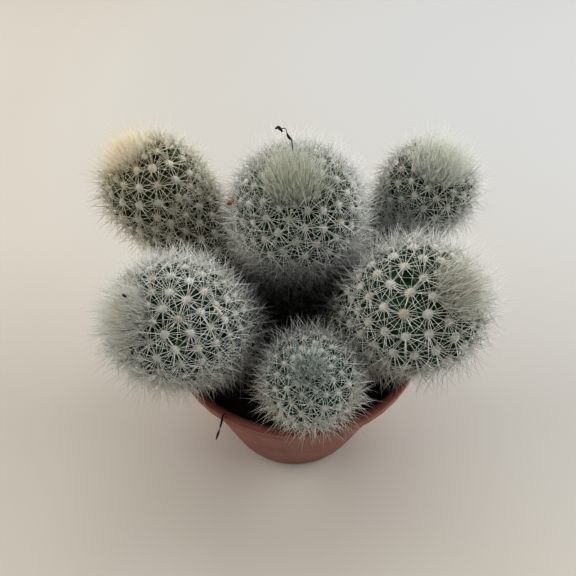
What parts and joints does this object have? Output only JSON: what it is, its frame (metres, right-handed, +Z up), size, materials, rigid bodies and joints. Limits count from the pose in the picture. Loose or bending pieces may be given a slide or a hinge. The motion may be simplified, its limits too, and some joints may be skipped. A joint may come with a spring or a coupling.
{
  "type": "potted mammillaria",
  "caption": "Clump of round, white-spined mammillaria heads standing in soil in a tapered plastic nursery pot.",
  "frame": {"origin": "centre of the pot's flat underside", "axes": "+Z up along the pot's axis; -Y towards the viewer of the picture; +X to the right, along the clump's widest reach"},
  "size_m": [0.1298, 0.099, 0.1184],
  "materials": {
    "pot_plastic": "satin moulded plastic, terracotta red-brown",
    "soil": null,
    "cactus": null
  },
  "bodies": {
    "root": {"pot": "pot_plastic", "soil": "soil", "head_back_left": "cactus", "head_back": "cactus", "head_back_right": "cactus", "head_left": "cactus", "head_right": "cactus", "head_front": "cactus"}
  },
  "joints": []
}
